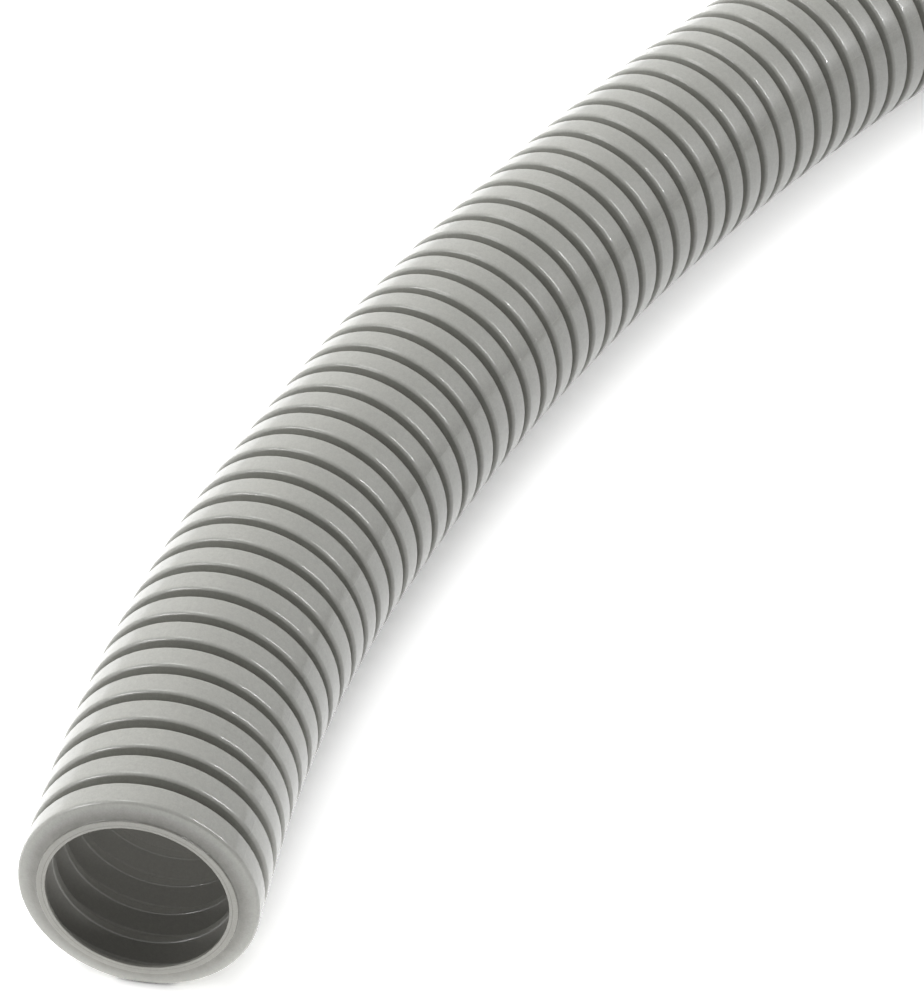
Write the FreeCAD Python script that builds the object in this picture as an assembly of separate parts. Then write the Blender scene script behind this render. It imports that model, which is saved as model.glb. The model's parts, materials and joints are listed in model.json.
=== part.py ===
"""A length of corrugated plastic conduit lying on the floor in a gentle bend.

The wall is one moulded skin that runs up and down in square waves, so the ribs outside are the
recesses inside. It is thicker at the roots than over the ribs, where it was drawn out further.
The ribs stay rigid rings and the conduit bends at the grooves between them, which close up on the
inside of the bend and open on its outside. All sizes are in millimetres. The floor is z = 0, the
near end lies towards -X and the far end towards +X.
"""

import FreeCAD, Part
import math
import os
from functools import lru_cache

# Wall section
CREST_DIAMETER = 32.0
GROOVE_DEPTH = 2.7
CREST_WIDTH = 3.75
FLANK_LEAN = 0.55
RIB_PITCH = 5.42
CREST_WALL = 0.6
ROOT_WALL = 1.2
FOOT_CLEARANCE = 0.1

# Joints of the travelling mould blocks, where two ribs come a little closer together
BLOCK_RIBS = 13
FIRST_BLOCK_RIBS = 11
BLOCK_JOINT_LOSS = 0.19

# Lay on the floor
LENGTH = 1000.0
STRAIGHT_END_RIBS = 3
NEAR_BEND_RIBS = 12
NEAR_BEND_RADIUS = 277.0
FAR_BEND_RADIUS = 496.0

# Radii and axial places that follow from the section
CREST_RADIUS = CREST_DIAMETER / 2
ROOT_RADIUS = CREST_RADIUS - GROOVE_DEPTH
CREST_HALF = CREST_WIDTH / 2

# Feet of the ribs, which stay clear of each other on the inside of the tightest bend
SHARPEST_TURN = RIB_PITCH / min(NEAR_BEND_RADIUS, FAR_BEND_RADIUS)
FOOT_CLOSING = ROOT_RADIUS * math.tan(SHARPEST_TURN / 2)
FOOT_ROOM = (RIB_PITCH - BLOCK_JOINT_LOSS - FOOT_CLEARANCE) / 2 - FOOT_CLOSING
FOOT_HALF = min(CREST_HALF + FLANK_LEAN, FOOT_ROOM)
LEAN_ANGLE = math.atan2(FOOT_HALF - CREST_HALF, GROOVE_DEPTH)

FULL_TURN = 360


def step_after(rib):
    """Distance from one rib to the next, both counted from the near end."""
    past_first_joint = rib - FIRST_BLOCK_RIBS
    at_block_joint = past_first_joint >= 0 and past_first_joint % BLOCK_RIBS == 0
    return RIB_PITCH - BLOCK_JOINT_LOSS if at_block_joint else RIB_PITCH


def count_ribs():
    """As many whole ribs as the length holds, with half a groove beyond the ribs at both ends."""
    ribs = 1
    length = RIB_PITCH
    while length + step_after(ribs) <= LENGTH:
        length += step_after(ribs)
        ribs += 1
    return ribs


def turn_after(rib, ribs):
    """Angle by which the conduit turns at the groove after one rib."""
    if rib < STRAIGHT_END_RIBS or ribs - rib < STRAIGHT_END_RIBS:
        return 0.0
    in_near_bend = rib < STRAIGHT_END_RIBS + NEAR_BEND_RIBS
    return RIB_PITCH / (NEAR_BEND_RADIUS if in_near_bend else FAR_BEND_RADIUS)


def grooves(ribs):
    """Half the step and half the turn at every groove, the cut ones at both ends included."""
    cut_end = (RIB_PITCH / 2, 0.0)
    between = [(step_after(rib) / 2, turn_after(rib, ribs) / 2) for rib in range(1, ribs)]
    return [cut_end] + between + [cut_end]


def flank_inside(radius):
    """Axial place of a flank's inner face, one wall behind the outer one, at a given radius."""
    outer_face = CREST_HALF + (CREST_RADIUS - radius) * math.tan(LEAN_ANGLE)
    return outer_face - CREST_WALL / math.cos(LEAN_ANGLE)


def wall_section(reach_before, reach_after):
    """Closed outline of the wall across one rib, X along the conduit and Y outwards."""
    recess_radius = CREST_RADIUS - CREST_WALL
    land_radius = ROOT_RADIUS - ROOT_WALL
    recess_edge = flank_inside(recess_radius)
    land_edge = flank_inside(land_radius)
    outer = [
        (-reach_before, ROOT_RADIUS),
        (-FOOT_HALF, ROOT_RADIUS),
        (-CREST_HALF, CREST_RADIUS),
        (CREST_HALF, CREST_RADIUS),
        (FOOT_HALF, ROOT_RADIUS),
        (reach_after, ROOT_RADIUS),
    ]
    inner = [
        (reach_after, land_radius),
        (land_edge, land_radius),
        (recess_edge, recess_radius),
        (-recess_edge, recess_radius),
        (-land_edge, land_radius),
        (-reach_before, land_radius),
    ]
    points = [FreeCAD.Vector(x, y, 0) for x, y in outer + inner]
    return Part.Face(Part.makePolygon(points + points[:1]))


def slab_between(before, after):
    """Block whose two slanting sides are the planes that halve the turn at each groove."""
    side = CREST_DIAMETER
    reach_before, reach_after = before[0], after[0]
    slant_before = side * math.tan(before[1])
    slant_after = side * math.tan(after[1])
    plan = [
        (-reach_before - slant_before, side),
        (reach_after + slant_after, side),
        (reach_after - slant_after, -side),
        (-reach_before + slant_before, -side),
    ]
    points = [FreeCAD.Vector(x, y, -side) for x, y in plan]
    return Part.Face(Part.makePolygon(points + points[:1])).extrude(FreeCAD.Vector(0, 0, 2 * side))


@lru_cache(maxsize=None)
def rib_unit(before, after):
    """One rib with the half grooves on both sides, round the X axis, cut where its neighbours begin."""
    overrun = CREST_RADIUS * math.tan(max(before[1], after[1]))
    section = wall_section(before[0] + overrun, after[0] + overrun)
    ring = section.revolve(FreeCAD.Vector(0, 0, 0), FreeCAD.Vector(1, 0, 0), FULL_TURN)
    return ring.common(slab_between(before, after))


def faces_of(unit):
    """The wall faces of one rib, and its two cut faces, the near one first."""
    walls = [face for face in unit.Faces if not isinstance(face.Surface, Part.Plane)]
    cuts = [face for face in unit.Faces if isinstance(face.Surface, Part.Plane)]
    return walls, sorted(cuts, key=lambda face: face.CenterOfMass.x)


def lay_out(ends):
    """Centre and heading of every rib, walking from the near end and turning to the right."""
    x, y, heading = 0.0, 0.0, 0.0
    places = []
    for before, after in zip(ends, ends[1:]):
        heading -= before[1]
        x += before[0] * math.cos(heading)
        y += before[0] * math.sin(heading)
        places.append((x, y, heading))
        x += after[0] * math.cos(heading)
        y += after[0] * math.sin(heading)
        heading -= after[1]
    return places, math.atan2(y, x)


def place_at(shape, x, y, heading):
    """A copy of a rib's face, moved to where the rib lies."""
    turn = FreeCAD.Rotation(FreeCAD.Vector(0, 0, 1), math.degrees(heading))
    placed = shape.copy()
    placed.Placement = FreeCAD.Placement(FreeCAD.Vector(x, y, 0), turn)
    return placed


def sew(ends, places):
    """One closed skin made of all the ribs' walls and the cut faces of the two mouths."""
    skin = []
    for place, before, after in zip(places, ends, ends[1:]):
        walls, cuts = faces_of(rib_unit(before, after))
        mouths = cuts[:1] * (place is places[0]) + cuts[1:] * (place is places[-1])
        skin += [place_at(face, *place) for face in walls + mouths]
    skin = Part.Compound(skin)
    skin.sewShape()
    return Part.Solid(skin.Shells[0])


def conduit():
    """The whole length as one solid on the floor, its chord along X and its middle on the Z axis."""
    ends = grooves(count_ribs())
    places, chord = lay_out(ends)
    whole = sew(ends, places)
    whole.rotate(FreeCAD.Vector(0, 0, 0), FreeCAD.Vector(0, 0, 1), -math.degrees(chord))
    box = whole.optimalBoundingBox(False)
    whole.translate(FreeCAD.Vector(-box.Center.x, -box.Center.y, CREST_RADIUS))
    return whole


os.makedirs("parts", exist_ok=True)
conduit().exportStep("parts/conduit.step")
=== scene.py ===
"""Dresses the corrugated conduit and sets up a plain studio round it.

The conduit gets its rounded and slightly uneven wall, laid out as in the part's source, and its grey plastic.
"""

import json
import math
import random

import bpy
from mathutils import Euler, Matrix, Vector


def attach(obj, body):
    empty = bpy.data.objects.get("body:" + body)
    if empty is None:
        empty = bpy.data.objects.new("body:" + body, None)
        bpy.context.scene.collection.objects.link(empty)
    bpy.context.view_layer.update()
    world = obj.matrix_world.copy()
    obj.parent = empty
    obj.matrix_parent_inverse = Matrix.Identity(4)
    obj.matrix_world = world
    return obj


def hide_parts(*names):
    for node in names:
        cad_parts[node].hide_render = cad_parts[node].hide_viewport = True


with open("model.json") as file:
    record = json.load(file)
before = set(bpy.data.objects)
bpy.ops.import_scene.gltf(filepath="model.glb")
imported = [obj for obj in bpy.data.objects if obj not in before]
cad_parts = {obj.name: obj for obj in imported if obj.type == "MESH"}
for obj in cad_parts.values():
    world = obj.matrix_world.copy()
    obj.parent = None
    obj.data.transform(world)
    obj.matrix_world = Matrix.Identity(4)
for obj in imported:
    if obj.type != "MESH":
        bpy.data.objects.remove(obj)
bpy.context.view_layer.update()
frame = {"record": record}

# Metres in a millimetre, and the draws for what differs from rib to rib
MM = 0.001
rng = random.Random(11)

# Section and lay of the conduit, as in the part's source
CREST_RADIUS = 16.0 * MM
GROOVE_DEPTH = 2.7 * MM
CREST_WIDTH = 3.75 * MM
FLANK_LEAN = 0.55 * MM
RIB_PITCH = 5.42 * MM
CREST_WALL = 0.6 * MM
ROOT_WALL = 1.2 * MM
BLOCK_RIBS = 13
FIRST_BLOCK_RIBS = 11
BLOCK_JOINT_LOSS = 0.19 * MM
LENGTH = 1000.0 * MM
STRAIGHT_END_RIBS = 3
NEAR_BEND_RIBS = 12
NEAR_BEND_RADIUS = 277.0 * MM
FAR_BEND_RADIUS = 496.0 * MM

# Rounding of the wall's corners, and how much higher the middle of a rib is than its shoulders
SHOULDER_ROUNDING = 0.55 * MM
ROOT_ROUNDING = 0.22 * MM
INNER_ROUNDING = 0.3 * MM
CUT_ROUNDING = 0.12 * MM
CROWN = 0.04 * MM

# Unevenness from rib to rib
RIB_RADIUS_SPREAD = 0.03 * MM
RIB_PLACE_SPREAD = 0.03 * MM
RIB_TONE_SPREAD = 0.02

# Segments of the roundings; the shoulder at the back of a rib faces the camera and glints, so it has the most
BACK_SHOULDER_SEGMENTS = 5
FRONT_SHOULDER_SEGMENTS = 2
CUT_SEGMENTS = 2

# Points round a ring, and ribs in each stretch of the mesh
ROUND_FINE = 64
ROUND_PLAIN = 32
ROUND_HIDDEN = 16
FINE_RIBS = 50
MOUTH_RIBS = 8
FAR_MOUTH_RIBS = 7

# Camera, placed from the first rib's middle by the near end's heading; its focal length is in photo pixels
CAMERA_BACK = 377.4 * MM
CAMERA_RIGHT = 104.0 * MM
CAMERA_UP = 366.8 * MM
CAMERA_TURN_LEFT = math.radians(9.35)
CAMERA_TILT_DOWN = math.radians(37.98)
FOCAL_PIXELS = 4134.0
PHOTO_HEIGHT = 1000
SENSOR = 36.0

# Colours of the plastic, by how much light they send back; the grooves' darker, warmer colour is painted
# shade
RIB_COLOUR = (0.40, 0.40, 0.37, 1)
GROOVE_SHADE_COLOUR = (0.20, 0.195, 0.175, 1)
# The inside's colour is darker than the ribs' as painted shade in the bore
INSIDE_SHADED_COLOUR = (0.30, 0.295, 0.275, 1)
CUT_COLOUR = (0.335, 0.33, 0.30, 1)

# Radii in mm: the colour darkens into the painted groove shade from the first to the second, and the ribs'
# marks are gone at the third
SHOULDER_RADIUS = 15.7
DARK_RADIUS = 13.5
MARKS_RADIUS = 15.0

# How fully the painted shade colour covers a groove, and how much that varies in patches
GROOVE_SHADE_COVER = 0.88
GROOVE_SHADE_PATCHINESS = 0.12

# Painted highlight on the ribs' edges: how much lighter a rib's far edge is, how much that varies, and the
# share of it on the near edge
EDGE_HIGHLIGHT_TONE = 0.14
EDGE_HIGHLIGHT_PATCHINESS = 0.06
NEAR_EDGE_HIGHLIGHT = 0.35

# Noises in the plastic: fineness along the conduit and in both directions across it per mm, and detail
NOISES = {
    "streaks": ((3.2, 0.1, 0.1), 3.0),
    "mottle": ((1.4, 1.4, 1.4), 3.0),
    "grain": ((4.0, 4.0, 4.0), 2.0),
    "clouds": ((0.05, 0.09, 0.09), 2.0),
    "blotches": ((0.3, 0.5, 0.5), 4.0),
}
SAW_FINENESS = (9.0, 1.5, 0.0)

# How much each mark lightens the colour, roughens the surface, and stands out in mm
TONES = {
    "streaks": 0.018,
    "mottle": 0.05,
    "grain": 0.07,
    "clouds": 0.02,
    "knocks": 0.25,
    "specks": 0.3,
    "knife_line": -0.3,
}
PLAIN_ROUGHNESS = 0.4
ROUGHNESSES = {
    "clouds": 0.03,
    "streaks": 0.02,
    "deep": 0.14,
    "cut": 0.24,
    "inside": 0.06,
    "knocks": 0.2,
}
HEIGHTS = {
    "streaks": 0.0008,
    "mottle": 0.0015,
    "knocks": -0.03,
    "specks": 0.008,
    "saw_lines": 0.012,
}

# Gloss: a weak broad one, and a sharper one on top of it
BROAD_GLOSS = 0.12
SHARP_GLOSS = 1.0
SHARP_GLOSS_ROUGHNESS = 0.14

# Lines where the two halves of the mould met: a thin ridge between two strips, widths and heights in mm; the
# strips carry painted shade above and painted light below, and the ridge a painted highlight
PARTING_ANGLES = (math.radians(151), math.radians(-29))
PARTING_RIDGE = 0.14
PARTING_REACH = 3.2
PARTING_SHADE_ABOVE = -0.06
PARTING_LIGHT_BELOW = 0.015
PARTING_RIDGE_HIGHLIGHT = 0.08
PARTING_HEIGHT = 0.05
PARTING_RIDGE_HEIGHT = 0.02
PARTING_FINENESS = (0.23, 0.0, 0.0)
PARTING_STRENGTH = 0.8
PARTING_PATCHINESS = 0.5

# Circle on the cut face where the knife broke through, in mm
KNIFE_LINE_RADIUS = 12.55
KNIFE_LINE_HALF = 0.1

# Daylight that seeps through the thin wall and shows on its inside, growing over some mm from the mouth
SEEPING_LIGHT = 0.072
SEEPING_AT_MOUTH = 0.3
SEEPING_IN_FULL = 32.0

# Knocks on the ribs: rib from the near end, mm ahead of its middle, degrees round it, and radius in mm
KNOCKS = ((8, 0.2, 141, 0.8), (21, -1.3, 150, 0.3), (22, -1.3, 151, 0.35), (23, -1.2, 150, 0.25))

# Tiny specks: cells per mm, the share of cells that have one, and its outer and inner radius in cells
SPECK_CELLS = 0.3
SPECK_SHARE = 0.28
SPECK_RADIUS = 0.045
SPECK_CORE = 0.015

# Room, which shows as white, and how strongly it lights the rest
WHITE = (1, 1, 1, 1)
ROOM_STRENGTH = 0.05

# Floor: half its side in metres, its paper, and how much lighter it shows than that under the open sky
FLOOR_HALF = 12.0
PAPER = (0.85, 0.85, 0.85, 1)
FLOOR_LIFT = 0.79

# Open sky over the floor: how far something can cover it, and the shares of it that count as none and as all
CONTACT_REACH = 80.0 * MM
COVERED_FLOOR = 0.17
OPEN_FLOOR = 0.52
SKY_GAMMA = 0.65
SKY_SAMPLES = 5

# Share of its shadow that the floor loses towards the back, growing between two distances from the mouth
BACK_LIGHT = 0.55
BACK_LIGHT_FROM = 40.0 * MM
BACK_LIGHT_IN_FULL = 240.0 * MM

# Lamps: distance in metres, degrees to the right of the view and up, width and height in metres, watts
SOFT_LAMPS = {
    "left_softbox": (1.5, -58, 34, 2.0, 2.0, 23.5),
    "left_low_card": (1.5, -92, 8, 1.3, 1.3, 5.5),
    "top_softbox": (1.3, 0, 80, 1.0, 1.0, 10.0),
    "right_softbox": (1.4, 85, 35, 0.6, 0.6, 2.5),
}
GLINT_LAMPS = {
    "top_glint_lamp": (1.3, -57, 70, 0.5, 0.5, 4.0),
    "right_glint_lamp": (1.4, 85, 35, 0.16, 0.7, 26.0),
    "front_glint_lamp": (1.5, -122, 25, 0.7, 0.35, 8.0),
}

# How far into the conduit the lamps look, and the card on the floor before its mouth
LAMPS_TARGET = 80.0 * MM
BOUNCE_SIZE = 120.0 * MM
BOUNCE_WATTS = 0.06
BOUNCE_BEFORE_MOUTH = 62.0 * MM
BOUNCE_HEIGHT = 0.5 * MM


# Path


class Place:
    """A point of the conduit's axis with its heading, and how far along the axis it is."""

    def __init__(self, x, y, heading, along):
        self.middle = Vector((x, y, CREST_RADIUS))
        self.heading = heading
        self.along = along
        self.room = None
        self.ahead = Vector((math.cos(heading), math.sin(heading), 0))
        self.left = Vector((-math.sin(heading), math.cos(heading), 0))

    def moved(self, distance):
        """The place that far ahead on the same heading."""
        p = self.middle + self.ahead * distance
        return Place(p.x, p.y, self.heading, self.along + distance)

    def turned(self, angle):
        """The same place with its heading turned to the left by an angle."""
        return Place(self.middle.x, self.middle.y, self.heading + angle, self.along)

    def kept_inside(self, ahead, radius, angle):
        """The distance ahead, or where the rib's own stretch ends if that comes first."""
        if self.room is None:
            return ahead
        (reach_before, slant_before), (reach_after, slant_after) = self.room
        side = radius * math.cos(angle)
        return min(max(ahead, -reach_before - slant_before * side), reach_after + slant_after * side)

    def direction(self, ahead, outwards, angle):
        """A vector by its share along the axis and outwards; the angle goes from the left over the top."""
        across = self.left * math.cos(angle) + Vector((0, 0, 1)) * math.sin(angle)
        return self.ahead * ahead + across * outwards


def step_after(rib):
    """Distance from one rib to the next, both counted from the near end."""
    past_first_joint = rib - FIRST_BLOCK_RIBS
    at_block_joint = past_first_joint >= 0 and past_first_joint % BLOCK_RIBS == 0
    return RIB_PITCH - BLOCK_JOINT_LOSS if at_block_joint else RIB_PITCH


def count_ribs():
    """As many whole ribs as the length holds."""
    ribs = 1
    length = RIB_PITCH
    while length + step_after(ribs) <= LENGTH:
        length += step_after(ribs)
        ribs += 1
    return ribs


def turn_after(rib, ribs):
    """Angle by which the conduit turns at the groove after one rib."""
    if rib < STRAIGHT_END_RIBS or ribs - rib < STRAIGHT_END_RIBS:
        return 0.0
    in_near_bend = rib < STRAIGHT_END_RIBS + NEAR_BEND_RIBS
    return RIB_PITCH / (NEAR_BEND_RADIUS if in_near_bend else FAR_BEND_RADIUS)


def near_mouth():
    """The middle of the near cut face, heading into the conduit, found from the mount on the near ribs."""
    mount = next(m for m in frame["record"]["mounts"] if m["name"] == "near_end")
    out = Vector(mount["axis"])
    middle = Vector(mount["pos_m"]) + out * (RIB_PITCH * STRAIGHT_END_RIBS / 2)
    return Place(middle.x, middle.y, math.atan2(-out.y, -out.x), 0.0)


def lay_out():
    """Places of all ribs, and of all grooves with the two cut ends included, from the near end."""
    ribs = count_ribs()
    here = near_mouth()
    rib_places = []
    groove_places = [here]
    old_turn = 0.0
    for rib in range(1, ribs + 1):
        before = RIB_PITCH / 2 if rib == 1 else step_after(rib - 1) / 2
        after = RIB_PITCH / 2 if rib == ribs else step_after(rib) / 2
        turn = 0.0 if rib == ribs else turn_after(rib, ribs)
        here = here.moved(before)
        here.room = (before, math.tan(old_turn / 2)), (after, math.tan(turn / 2))
        rib_places.append(here)
        here = here.moved(after).turned(-turn / 2)
        groove_places.append(here)
        here = here.turned(-turn / 2)
        old_turn = turn
    return rib_places, groove_places


# Section


def rounded(points, rounding, segments):
    """Rows of (ahead, radius, normal ahead, normal outwards) along a line whose corners are rounded.

    The air is on the left of the line. Its two end points only give directions and make no rows.
    """
    rows = []
    for before, corner, after in zip(points, points[1:], points[2:]):
        into = (Vector(corner) - Vector(before)).normalized()
        out = (Vector(after) - Vector(corner)).normalized()
        normal_in = Vector((-into.y, into.x))
        normal_out = Vector((-out.y, out.x))
        side = -1 if into.cross(out) > 0 else 1
        reach = (normal_in + normal_out) / (1 + normal_in.dot(normal_out))
        middle = Vector(corner) - reach * (side * rounding)
        for step in range(segments + 1):
            normal = normal_in.slerp(normal_out, step / segments)
            at = middle + normal * (side * rounding)
            rows.append((at.x, at.y, normal.x, normal.y))
    return rows


def outside_rows(back_segments, front_segments, crown):
    """The outside of one rib, from its root at the back to its root at the front."""
    root = CREST_RADIUS - GROOVE_DEPTH
    crest = CREST_RADIUS - (CROWN if crown else 0)
    half = CREST_WIDTH / 2
    foot = half + FLANK_LEAN
    far = RIB_PITCH / 2
    back_foot = rounded([(-far, root), (-foot, root), (-half, crest)], ROOT_ROUNDING, 1)
    front_foot = rounded([(half, crest), (foot, root), (far, root)], ROOT_ROUNDING, 1)
    top = (0.0, CREST_RADIUS, 0.0, 1.0)
    back = rounded([(-foot, root), (-half, crest), top[:2]], SHOULDER_ROUNDING, back_segments)
    front = rounded([top[:2], (half, crest), (foot, root)], SHOULDER_ROUNDING, front_segments)
    return back_foot + back + ([top] if crown else []) + front + front_foot


def inside_rows():
    """The inside of one rib, from the land at its front to the land at its back."""
    lean = math.atan2(FLANK_LEAN, GROOVE_DEPTH)
    recess = CREST_RADIUS - CREST_WALL
    land = CREST_RADIUS - GROOVE_DEPTH - ROOT_WALL
    half = CREST_WIDTH / 2 + CREST_WALL * math.tan(lean) - CREST_WALL / math.cos(lean)
    foot = half + (recess - land) * math.tan(lean)
    far = RIB_PITCH / 2
    line = [(far, land), (foot, land), (half, recess), (-half, recess), (-foot, land), (-far, land)]
    return rounded(line, INNER_ROUNDING, 1)


def cut_rows(ahead):
    """The two small roundings of a cut end, in walking order.

    ahead is -1 at the near end and 1 at the far one.
    """
    root = CREST_RADIUS - GROOVE_DEPTH
    land = root - ROOT_WALL
    reach = RIB_PITCH / 2
    line = [(-reach, root), (0, root), (0, land), (-reach, land)]
    if ahead < 0:
        line = [(reach, land), (0, land), (0, root), (reach, root)]
    return rounded(line, CUT_ROUNDING, CUT_SEGMENTS)


# Mesh

OUTSIDE, INSIDE, CUT = range(3)


def edge_highlight_share(radius, normal_ahead, normal_out):
    """Share of the painted highlight on a rib's edge at a point: 1 in the middle of the far edge, less on the
    near one.
    """
    if radius < CREST_RADIUS - GROOVE_DEPTH / 2:
        return 0.0
    slant = 4 * (normal_ahead * normal_out) ** 2
    return slant if normal_ahead > 0 else NEAR_EDGE_HIGHLIGHT * slant


class Skin:
    """Rings of points round the axis, joined one after the other into one closed skin."""

    def __init__(self):
        self.points = []
        self.normals = []
        self.straight = []
        self.zones = []
        self.tones = []
        self.faces = []
        self.rings = []

    def ring(self, place, row, count, zone, tone=0.0):
        """Adds a ring at a place and joins it to the ring before it.

        The zone is OUTSIDE, INSIDE or CUT, and the tone is how much lighter or darker its rib is.
        """
        ahead, radius, normal_ahead, normal_out = row
        edge = edge_highlight_share(radius, normal_ahead, normal_out) if zone == OUTSIDE else 0.0
        first = len(self.points)
        for k in range(count):
            angle = 2 * math.pi * k / count
            here = place.kept_inside(ahead, radius, angle)
            self.points.append(place.middle + place.direction(here, radius, angle))
            self.normals.append(place.direction(normal_ahead, normal_out, angle))
            unrolled = (place.along + here, radius * math.cos(angle), radius * math.sin(angle))
            self.straight.append(unrolled)
            self.zones.append((float(zone == OUTSIDE), float(zone == CUT), edge))
            self.tones.append(tone)
        here = (first, count)
        if self.rings:
            self.join(self.rings[-1], here)
        self.rings.append(here)

    def join(self, old, new):
        """Faces between two rings, which have as many points or differ by a factor of two."""
        (a, m), (b, n) = old, new
        if m == n:
            for k in range(n):
                j = (k + 1) % n
                self.faces.append((a + k, a + j, b + j, b + k))
            return
        fine, coarse, many, few, flip = (a, b, m, n, False) if m > n else (b, a, n, m, True)
        for k in range(few):
            j = (k + 1) % few
            f0, f1, f2 = fine + 2 * k, fine + 2 * k + 1, fine + (2 * k + 2) % many
            corners = [(f0, f1, coarse + k), (f1, coarse + j, coarse + k), (f1, f2, coarse + j)]
            self.faces += [c[::-1] if flip else c for c in corners]

    def close(self):
        """Joins the last ring to the first."""
        self.join(self.rings[-1], self.rings[0])

    def mesh(self, name):
        """The mesh with its smooth normals, and what the material has to know of each point."""
        mesh = bpy.data.meshes.new(name)
        mesh.from_pydata(self.points, [], self.faces)
        mesh.validate()
        mesh.shade_smooth()
        mesh.normals_split_custom_set_from_vertices([n.normalized() for n in self.normals])
        straight = mesh.attributes.new("straight", "FLOAT_VECTOR", "POINT")
        straight.data.foreach_set("vector", [c for p in self.straight for c in p])
        zone = mesh.attributes.new("zone", "FLOAT_VECTOR", "POINT")
        zone.data.foreach_set("vector", [c for z in self.zones for c in z])
        tone = mesh.attributes.new("rib_tone", "FLOAT", "POINT")
        tone.data.foreach_set("value", self.tones)
        return mesh


def uneven():
    """Small differences of one rib: how far it is moved along the axis, how much lower it is, its tone."""
    moved = rng.uniform(-1, 1) * RIB_PLACE_SPREAD
    lower = rng.random() * RIB_RADIUS_SPREAD
    return moved, lower, rng.uniform(-1, 1) * RIB_TONE_SPREAD


def add_outside(skin, ribs, grooves, changes):
    """The outside, rib by rib from the near to the far end, finest where the camera is."""
    root = CREST_RADIUS - GROOVE_DEPTH
    fine_rows = outside_rows(BACK_SHOULDER_SEGMENTS, FRONT_SHOULDER_SEGMENTS, True)
    plain_rows = outside_rows(1, 1, False)[1:-1]
    for i, place in enumerate(ribs):
        fine = i < FINE_RIBS
        count = ROUND_FINE if fine else ROUND_PLAIN
        moved, lower, tone = changes[i]
        if i > 0:
            skin.ring(grooves[i], (0, root, 0, 1), count, OUTSIDE, tone)
        for ahead, radius, normal_ahead, normal_out in fine_rows if fine else plain_rows:
            crest = (radius - root) / GROOVE_DEPTH
            row = (ahead + moved, radius - lower * crest, normal_ahead, normal_out)
            skin.ring(place, row, count, OUTSIDE, tone)


def add_inside(skin, ribs, grooves, changes):
    """The inside, rib by rib from the far to the near end, finest in the mouths."""
    land = CREST_RADIUS - GROOVE_DEPTH - ROOT_WALL
    fine_rows = inside_rows()
    plain_rows = fine_rows[1::2]
    for i in reversed(range(len(ribs))):
        mouth = i < MOUTH_RIBS
        far_mouth = i >= len(ribs) - FAR_MOUTH_RIBS
        count = ROUND_FINE if mouth else ROUND_PLAIN if far_mouth or i < 2 * MOUTH_RIBS else ROUND_HIDDEN
        for ahead, radius, normal_ahead, normal_out in fine_rows if mouth or far_mouth else plain_rows:
            skin.ring(ribs[i], (ahead + changes[i][0], radius, normal_ahead, normal_out), count, INSIDE)
        if i > 0:
            skin.ring(grooves[i], (0, land, 0, -1), count, INSIDE)


def build_skin(ribs, grooves):
    """The outside from the near to the far end, the far cut, the inside back again, and the near cut."""
    changes = [uneven() for _ in ribs]
    skin = Skin()
    add_outside(skin, ribs, grooves, changes)
    for row in cut_rows(1):
        skin.ring(grooves[-1], row, ROUND_PLAIN, CUT)
    add_inside(skin, ribs, grooves, changes)
    for row in cut_rows(-1):
        skin.ring(grooves[0], row, ROUND_FINE, CUT)
    skin.close()
    return skin


# Materials


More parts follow.
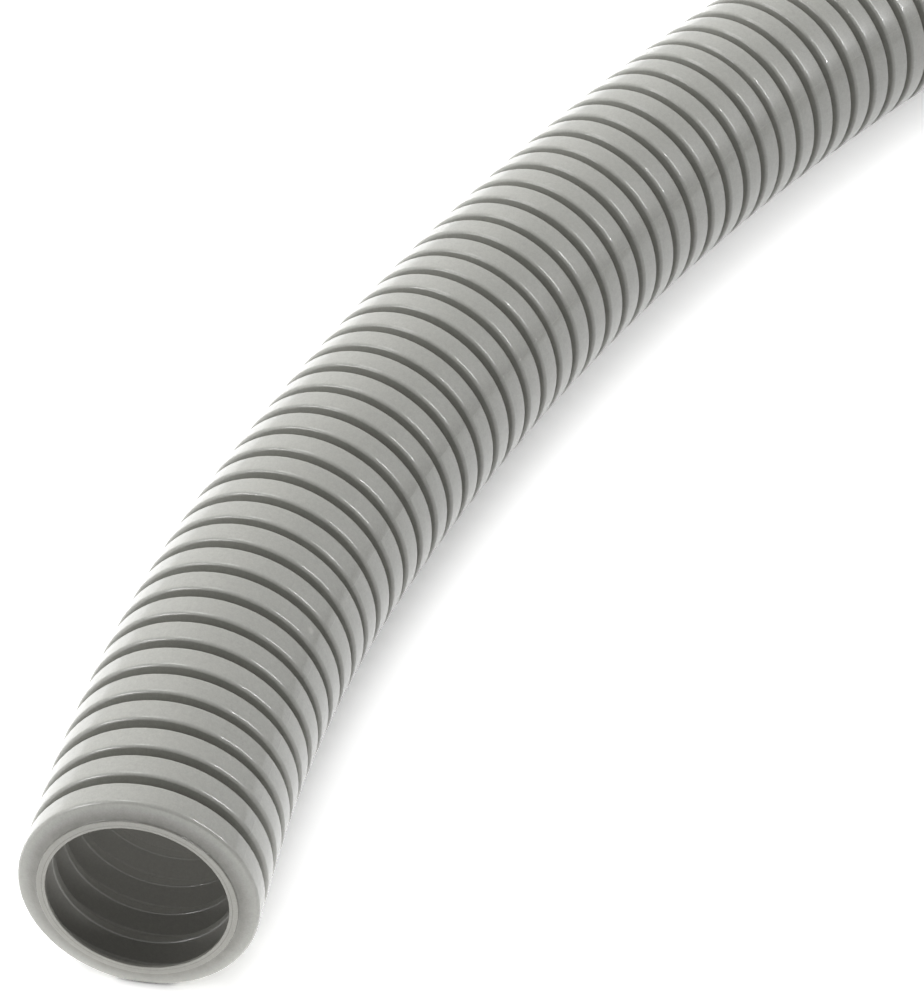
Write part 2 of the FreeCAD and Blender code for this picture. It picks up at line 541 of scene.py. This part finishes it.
class Graph:
    """The nodes of one material or world, made and joined in short calls."""

    def __init__(self, tree):
        self.nodes = tree.nodes
        self.links = tree.links

    def give(self, socket, value):
        """Joins a socket to another one, or sets it to a fixed value."""
        if isinstance(value, bpy.types.NodeSocket):
            self.links.new(value, socket)
        else:
            socket.default_value = value

    def add(self, kind, inputs=(), **settings):
        """A node with its settings, and its inputs in order, or by name or number."""
        node = self.nodes.new(kind)
        for name, value in settings.items():
            setattr(node, name, value)
        for key, value in inputs.items() if isinstance(inputs, dict) else enumerate(inputs):
            self.give(node.inputs[key], value)
        return node

    def math(self, operation, *values):
        """One sum with numbers."""
        return self.add("ShaderNodeMath", values, operation=operation).outputs[0]

    def total(self, *values):
        """All values added up."""
        result = values[0]
        for value in values[1:]:
            result = self.math("ADD", result, value)
        return result

    def times(self, *values):
        """All values multiplied."""
        result = values[0]
        for value in values[1:]:
            result = self.math("MULTIPLY", result, value)
        return result

    def vector(self, operation, *values):
        """One sum with vectors."""
        return self.add("ShaderNodeVectorMath", values, operation=operation).outputs["Vector"]

    def distance(self, first, second):
        """How far two places are from each other."""
        node = self.add("ShaderNodeVectorMath", [first, second], operation="DISTANCE")
        return node.outputs["Value"]

    def scaled(self, colour, factor):
        """A colour made lighter or darker."""
        node = self.add("ShaderNodeVectorMath", {"Vector": colour, "Scale": factor}, operation="SCALE")
        return node.outputs["Vector"]

    def combined(self, *values):
        """A vector of up to three numbers."""
        return self.add("ShaderNodeCombineXYZ", values).outputs["Vector"]

    def linear(self, value, slope, base):
        """The value times a slope, plus a base."""
        return self.math("MULTIPLY_ADD", value, slope, base)

    def weighted(self, values, weights):
        """The named values added up, each times its weight."""
        return self.total(*[self.times(values[name], weight) for name, weight in weights.items()])

    def parts(self, vector):
        """The three numbers of a vector."""
        return self.add("ShaderNodeSeparateXYZ", [vector]).outputs

    def attribute(self, name, output="Vector"):
        """What the mesh knows about the point."""
        return self.add("ShaderNodeAttribute", attribute_name=name).outputs[output]

    def noise(self, place, stretch, detail=2.0):
        """Soft noise from about -1 to 1, with its own fineness along the conduit and round it."""
        finer = self.vector("MULTIPLY", place, stretch)
        noise = self.add("ShaderNodeTexNoise", {"Vector": finer, "Scale": 1.0, "Detail": detail})
        return self.linear(noise.outputs["Fac"], 4.0, -2.0)

    def fade(self, value, start, end):
        """0 at the start and before, 1 at the end and beyond, with a soft change between them."""
        inputs = {"Value": value, "From Min": start, "From Max": end}
        return self.add("ShaderNodeMapRange", inputs, interpolation_type="SMOOTHSTEP").outputs["Result"]

    def mix(self, share, first, second):
        """The first colour, and the second one by its share."""
        share_socket, first_socket, second_socket, result_socket = 0, 6, 7, 2
        inputs = {share_socket: share, first_socket: first, second_socket: second}
        return self.add("ShaderNodeMix", inputs, data_type="RGBA").outputs[result_socket]


def parting_traces(graph, along, angle, on_rib):
    """Painted shading and height of the lines where the mould's halves met: a thin ridge with a painted
    highlight between two slanting strips, painted shade on one and painted light on the other.
    """
    patches = graph.noise(graph.combined(along), PARTING_FINENESS)
    shown = graph.times(on_rib, graph.linear(patches, PARTING_PATCHINESS, PARTING_STRENGTH))
    tones, heights = [], []
    for parting in PARTING_ANGLES:
        below = graph.times(graph.math("SUBTRACT", angle, parting), CREST_RADIUS / MM)
        distance = graph.math("ABSOLUTE", below)
        strip = graph.times(graph.fade(distance, PARTING_REACH, 0.0), shown)
        ridge = graph.times(graph.fade(distance, PARTING_RIDGE, 0.0), shown)
        is_below = graph.math("GREATER_THAN", below, 0.0)
        strip_shading = graph.linear(is_below, PARTING_LIGHT_BELOW - PARTING_SHADE_ABOVE, PARTING_SHADE_ABOVE)
        tones += [graph.times(strip, strip_shading), graph.times(ridge, PARTING_RIDGE_HIGHLIGHT)]
        heights += [graph.times(strip, PARTING_HEIGHT), graph.times(ridge, PARTING_RIDGE_HEIGHT)]
    return graph.total(*tones), graph.total(*heights)


def knock_marks(graph, place, ribs):
    """1 in the middle of each knocked spot and 0 outside them all."""
    marks = []
    for rib, ahead, degrees, radius in KNOCKS:
        angle = math.radians(degrees)
        side, up = CREST_RADIUS / MM * math.cos(angle), CREST_RADIUS / MM * math.sin(angle)
        distance = graph.distance(place, (ribs[rib].along / MM + ahead, side, up))
        marks.append(graph.fade(distance, radius, radius / 4))
    return graph.total(*marks)


def fine_specks(graph, place):
    """1 in the middle of a few tiny specks, and 0 between them."""
    cells = graph.add("ShaderNodeTexVoronoi", {"Vector": place, "Scale": SPECK_CELLS})
    chosen = graph.math("GREATER_THAN", graph.parts(cells.outputs["Color"])[0], 1 - SPECK_SHARE)
    return graph.times(graph.fade(cells.outputs["Distance"], SPECK_RADIUS, SPECK_CORE), chosen)


def surface_marks(graph, place, ribs):
    """What there is to see at each point of the plastic, by its name.

    Noises go from about -1 to 1, tones and heights are used as they are, and the others are shares up to 1.
    """
    along, side, up = graph.parts(place)
    angle = graph.math("ARCTAN2", up, side)
    radius = graph.math("SQRT", graph.total(graph.times(side, side), graph.times(up, up)))
    outside, cut, edge = graph.parts(graph.attribute("zone"))
    inside = graph.math("SUBTRACT", graph.math("SUBTRACT", 1.0, outside), cut)
    on_rib = graph.times(graph.fade(radius, MARKS_RADIUS, SHOULDER_RADIUS), outside)
    off_knife_line = graph.math("ABSOLUTE", graph.math("SUBTRACT", radius, KNIFE_LINE_RADIUS))
    seeping = graph.linear(graph.fade(along, 0.0, SEEPING_IN_FULL), 1 - SEEPING_AT_MOUTH, SEEPING_AT_MOUTH)

    marks = {name: graph.noise(place, *settings) for name, settings in NOISES.items()}
    marks["cut"] = cut
    marks["inside"] = inside
    # Share of the painted shade, growing down into the grooves
    marks["deep"] = graph.times(graph.fade(radius, SHOULDER_RADIUS, DARK_RADIUS), outside)
    marks["seeping"] = graph.times(inside, seeping)
    marks["knocks"] = graph.times(knock_marks(graph, place, ribs), outside)
    marks["specks"] = graph.times(fine_specks(graph, place), on_rib)
    marks["knife_line"] = graph.times(graph.fade(off_knife_line, KNIFE_LINE_HALF, 0.0), cut)
    marks["saw_lines"] = graph.times(graph.noise(graph.combined(radius, angle), SAW_FINENESS), cut)
    marks["rib_tone"] = graph.attribute("rib_tone", "Fac")
    # Painted highlight along the ribs' edges, in blotches
    marks["painted_edge_highlight"] = graph.times(edge, graph.linear(marks["blotches"], EDGE_HIGHLIGHT_PATCHINESS, EDGE_HIGHLIGHT_TONE))
    # Painted shade, light and highlight beside the parting lines, and their height
    marks["parting_shading"], marks["parting_height"] = parting_traces(graph, along, angle, on_rib)
    return marks


def plastic_colour(graph, marks):
    """Colour of the ribs, the inside and the cut ends, with painted shade in the grooves and all marks,
    painted highlights and painted shade among them.
    """
    colour = graph.mix(marks["inside"], RIB_COLOUR, INSIDE_SHADED_COLOUR)
    colour = graph.mix(marks["cut"], colour, CUT_COLOUR)
    # Painted shade in the grooves, in blotches
    groove_shade = graph.times(marks["deep"], graph.linear(marks["blotches"], GROOVE_SHADE_PATCHINESS, GROOVE_SHADE_COVER))
    colour = graph.mix(groove_shade, colour, GROOVE_SHADE_COLOUR)
    ready_tones = [marks[name] for name in ("rib_tone", "painted_edge_highlight", "parting_shading")]
    return graph.scaled(colour, graph.total(1.0, *ready_tones, graph.weighted(marks, TONES)))


def grey_plastic(ribs):
    """Light grey moulded plastic with streaks round the ribs, painted shade in the grooves, painted
    highlights on the rib edges, and parting lines with painted shade and light.
    """
    material = bpy.data.materials.new("grey_plastic")
    material.use_nodes = True
    graph = Graph(material.node_tree)
    shader = graph.nodes["Principled BSDF"].inputs

    place = graph.vector("MULTIPLY", graph.attribute("straight"), (1 / MM,) * 3)
    marks = surface_marks(graph, place, ribs)
    height = graph.total(graph.weighted(marks, HEIGHTS), marks["parting_height"])
    bump = graph.add("ShaderNodeBump", {"Height": height, "Distance": MM})

    graph.give(shader["Base Color"], plastic_colour(graph, marks))
    graph.give(shader["Roughness"], graph.total(PLAIN_ROUGHNESS, graph.weighted(marks, ROUGHNESSES)))
    graph.give(shader["Emission Strength"], graph.times(marks["seeping"], SEEPING_LIGHT / INSIDE_SHADED_COLOUR[0]))
    graph.give(shader["Normal"], bump.outputs["Normal"])
    shader["Emission Color"].default_value = INSIDE_SHADED_COLOUR
    shader["Specular IOR Level"].default_value = BROAD_GLOSS
    shader["Coat Weight"].default_value = SHARP_GLOSS
    shader["Coat Roughness"].default_value = SHARP_GLOSS_ROUGHNESS
    return material


def make_conduit():
    """The conduit's visible skin in place of the plain solid."""
    ribs, grooves = lay_out()
    skin = build_skin(ribs, grooves)
    conduit = bpy.data.objects.new("corrugated_conduit", skin.mesh("corrugated_conduit"))
    bpy.context.scene.collection.objects.link(conduit)
    conduit.data.materials.append(grey_plastic(ribs))
    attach(conduit, "root")
    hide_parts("conduit")


# Studio


def seen(graph):
    """1 for rays that show a surface, also mirrored or through glass, and 0 for rays that only light it."""
    path = graph.add("ShaderNodeLightPath").outputs
    return graph.math("MAXIMUM", graph.math("MAXIMUM", path["Is Camera Ray"], path["Is Glossy Ray"]),
                      path["Is Transmission Ray"])


def open_sky(graph):
    """Share of the sky that a spot of the floor sees: 0 close beside the conduit and 1 well away from it."""
    inputs = {"Distance": CONTACT_REACH}
    sky = graph.add("ShaderNodeAmbientOcclusion", inputs, samples=SKY_SAMPLES).outputs["AO"]
    inputs = {"Value": sky, "From Min": COVERED_FLOOR, "From Max": OPEN_FLOOR}
    share = graph.add("ShaderNodeMapRange", inputs).outputs["Result"]
    return graph.math("POWER", share, SKY_GAMMA)


def floor_lift(graph):
    """How much lighter the floor shows than its paper is: less near the conduit, and least near its mouth."""
    sky = open_sky(graph)
    place = graph.add("ShaderNodeNewGeometry").outputs["Position"]
    distance = graph.distance(place, near_mouth().middle)
    back_light = graph.times(graph.fade(distance, BACK_LIGHT_FROM, BACK_LIGHT_IN_FULL), BACK_LIGHT)
    covered = graph.math("SUBTRACT", 1.0, sky)
    return graph.times(graph.total(sky, graph.times(covered, back_light)), FLOOR_LIFT)


def white_paper():
    """Paper that lights the rest as white paper does and shows as white, with the conduit's shadow."""
    material = bpy.data.materials.new("floor")
    material.use_nodes = True
    graph = Graph(material.node_tree)
    graph.nodes.clear()
    paper = graph.add("ShaderNodeBsdfDiffuse", {"Color": PAPER})
    lift = graph.add("ShaderNodeEmission", {"Strength": floor_lift(graph)})
    lit = graph.add("ShaderNodeAddShader", [paper.outputs[0], lift.outputs[0]])
    shown = graph.add("ShaderNodeMixShader", [seen(graph), paper.outputs[0], lit.outputs[0]])
    graph.add("ShaderNodeOutputMaterial", {"Surface": shown.outputs[0]})
    return material


def make_floor():
    """Plain square floor."""
    half = FLOOR_HALF
    corners = [(-half, -half, 0), (half, -half, 0), (half, half, 0), (-half, half, 0)]
    mesh = bpy.data.meshes.new("floor")
    mesh.from_pydata(corners, [], [(0, 1, 2, 3)])
    mesh.materials.append(white_paper())
    floor = bpy.data.objects.new("floor", mesh)
    bpy.context.scene.collection.objects.link(floor)


def make_world():
    """Even light from all sides, and white where the surroundings show."""
    world = bpy.data.worlds.new("studio")
    bpy.context.scene.world = world
    world.use_nodes = True
    graph = Graph(world.node_tree)
    room = graph.nodes["Background"]
    room.inputs["Color"].default_value = WHITE
    room.inputs["Strength"].default_value = ROOM_STRENGTH
    white = graph.add("ShaderNodeBackground", {"Color": WHITE, "Strength": 1.0})
    shown = graph.add("ShaderNodeMixShader", [seen(graph), room.outputs[0], white.outputs[0]])
    graph.give(graph.nodes["World Output"].inputs["Surface"], shown.outputs[0])


def make_light(name, distance, azimuth, elevation, width, height, watts, glints):
    """An area lamp that looks at the near ribs, and shows in their gloss only, or else never in it.

    The azimuth is counted to the right of the camera's view direction, so 0 is behind the conduit.
    """
    first = near_mouth()
    view = first.heading + CAMERA_TURN_LEFT - math.radians(azimuth)
    rise = math.radians(elevation)
    away = Vector((math.cos(view) * math.cos(rise), math.sin(view) * math.cos(rise), math.sin(rise)))
    data = bpy.data.lights.new(name, "AREA")
    data.shape = "RECTANGLE"
    data.size = width
    data.size_y = height
    data.energy = watts
    light = bpy.data.objects.new(name, data)
    light.location = first.moved(LAMPS_TARGET).middle + away * distance
    light.rotation_euler = away.to_track_quat("Z", "Y").to_euler()
    light.visible_glossy = glints
    light.visible_diffuse = not glints
    bpy.context.scene.collection.objects.link(light)


def make_lights():
    """The soft lamps, the lamps for the glints, and the light from the floor before the near end."""
    for name, settings in SOFT_LAMPS.items():
        make_light(name, *settings, glints=False)
    for name, settings in GLINT_LAMPS.items():
        make_light(name, *settings, glints=True)
    make_bounce()


def make_bounce():
    """A small card flat on the floor before the near end, for the light that bright paper throws up there."""
    data = bpy.data.lights.new("floor_bounce", "AREA")
    data.size = BOUNCE_SIZE
    data.energy = BOUNCE_WATTS
    card = bpy.data.objects.new("floor_bounce", data)
    card.location = near_mouth().moved(-BOUNCE_BEFORE_MOUTH).middle
    card.location.z = BOUNCE_HEIGHT
    card.rotation_euler = (math.pi, 0, 0)
    card.visible_camera = False
    card.visible_glossy = False
    bpy.context.scene.collection.objects.link(card)


def make_camera():
    """The photograph's view, set from the middle of the first rib."""
    first = near_mouth().moved(RIB_PITCH / 2)
    data = bpy.data.cameras.new("camera")
    data.sensor_width = SENSOR
    data.lens = FOCAL_PIXELS / PHOTO_HEIGHT * SENSOR
    camera = bpy.data.objects.new("camera", data)
    camera.location = first.middle - first.ahead * CAMERA_BACK - first.left * CAMERA_RIGHT
    camera.location.z += CAMERA_UP
    turn = first.heading + CAMERA_TURN_LEFT - math.pi / 2
    camera.rotation_euler = Euler((math.pi / 2 - CAMERA_TILT_DOWN, 0, turn))
    bpy.context.scene.collection.objects.link(camera)
    bpy.context.scene.camera = camera


make_conduit()
make_floor()
make_world()
make_lights()
make_camera()
bpy.context.scene.view_settings.view_transform = "Standard"
